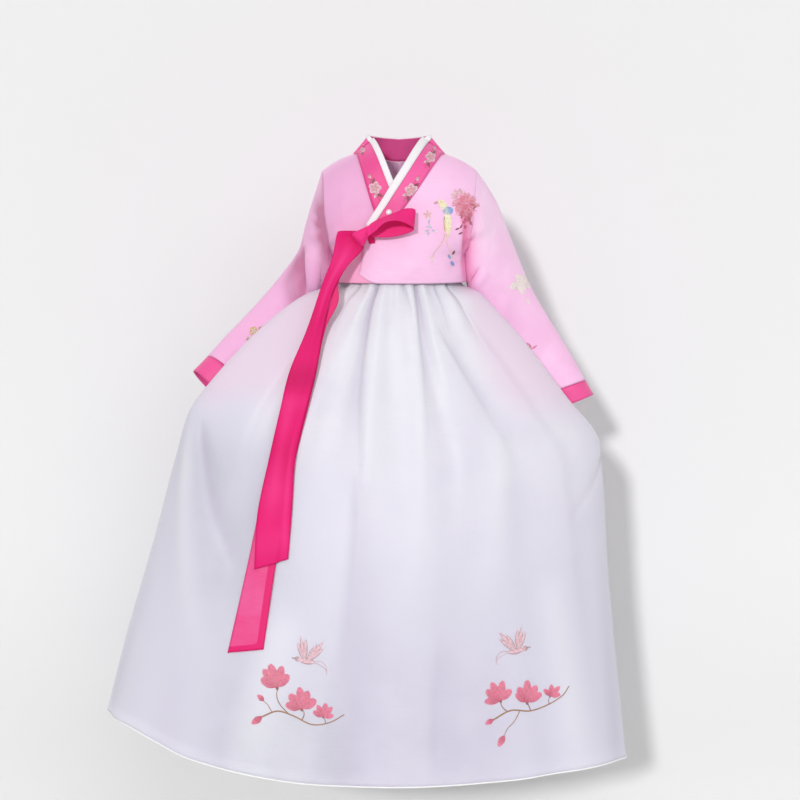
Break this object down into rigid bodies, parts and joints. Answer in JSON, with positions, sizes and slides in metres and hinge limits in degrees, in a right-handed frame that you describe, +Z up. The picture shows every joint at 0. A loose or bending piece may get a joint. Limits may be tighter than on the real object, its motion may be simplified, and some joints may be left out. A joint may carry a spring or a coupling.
{
  "type": "korean hanbok",
  "caption": "Child's hanbok as worn: short pink wrap jacket with contrast collar, cuffs and tied ribbon over a full, high-waisted white skirt raised at the sides.",
  "frame": {"origin": "on the neck's axis at the height where the jacket rests on the shoulders", "axes": "+Z up, the garment's front faces -Y, the wearer's left is +X"},
  "size_m": [0.7994, 0.4613, 0.9457],
  "materials": {
    "jacket_pink": "light pink satin brocade, soft sheen",
    "cuff_pink": "hot pink satin",
    "collar_pink": "hot pink satin with small embroidered flowers",
    "collar_white": "crisp white cotton",
    "pearl": "pearl white, glossy",
    "ribbon_pink": "hot pink, smooth and slightly sheer",
    "band_white": "plain white cotton",
    "organza_white": "sheer white organza with a lilac cast",
    "lining_white": "white satin lining, softly shining"
  },
  "bodies": {
    "root": {"jacket_right_half": "jacket_pink", "jacket_left_half": "jacket_pink", "sleeve_right": "jacket_pink", "sleeve_left": "jacket_pink", "cuff_right": "cuff_pink", "cuff_left": "cuff_pink", "collar_band": "collar_pink", "collar_white_strip": "collar_white", "snap_button": "pearl", "ribbon_knot": "ribbon_pink", "ribbon_loop": "ribbon_pink", "ribbon_short_end": "ribbon_pink", "ribbon_front_tail": "ribbon_pink", "ribbon_back_tail": "ribbon_pink", "skirt_band": "band_white", "skirt_organza": "organza_white", "skirt_lining": "lining_white"}
  },
  "joints": []
}
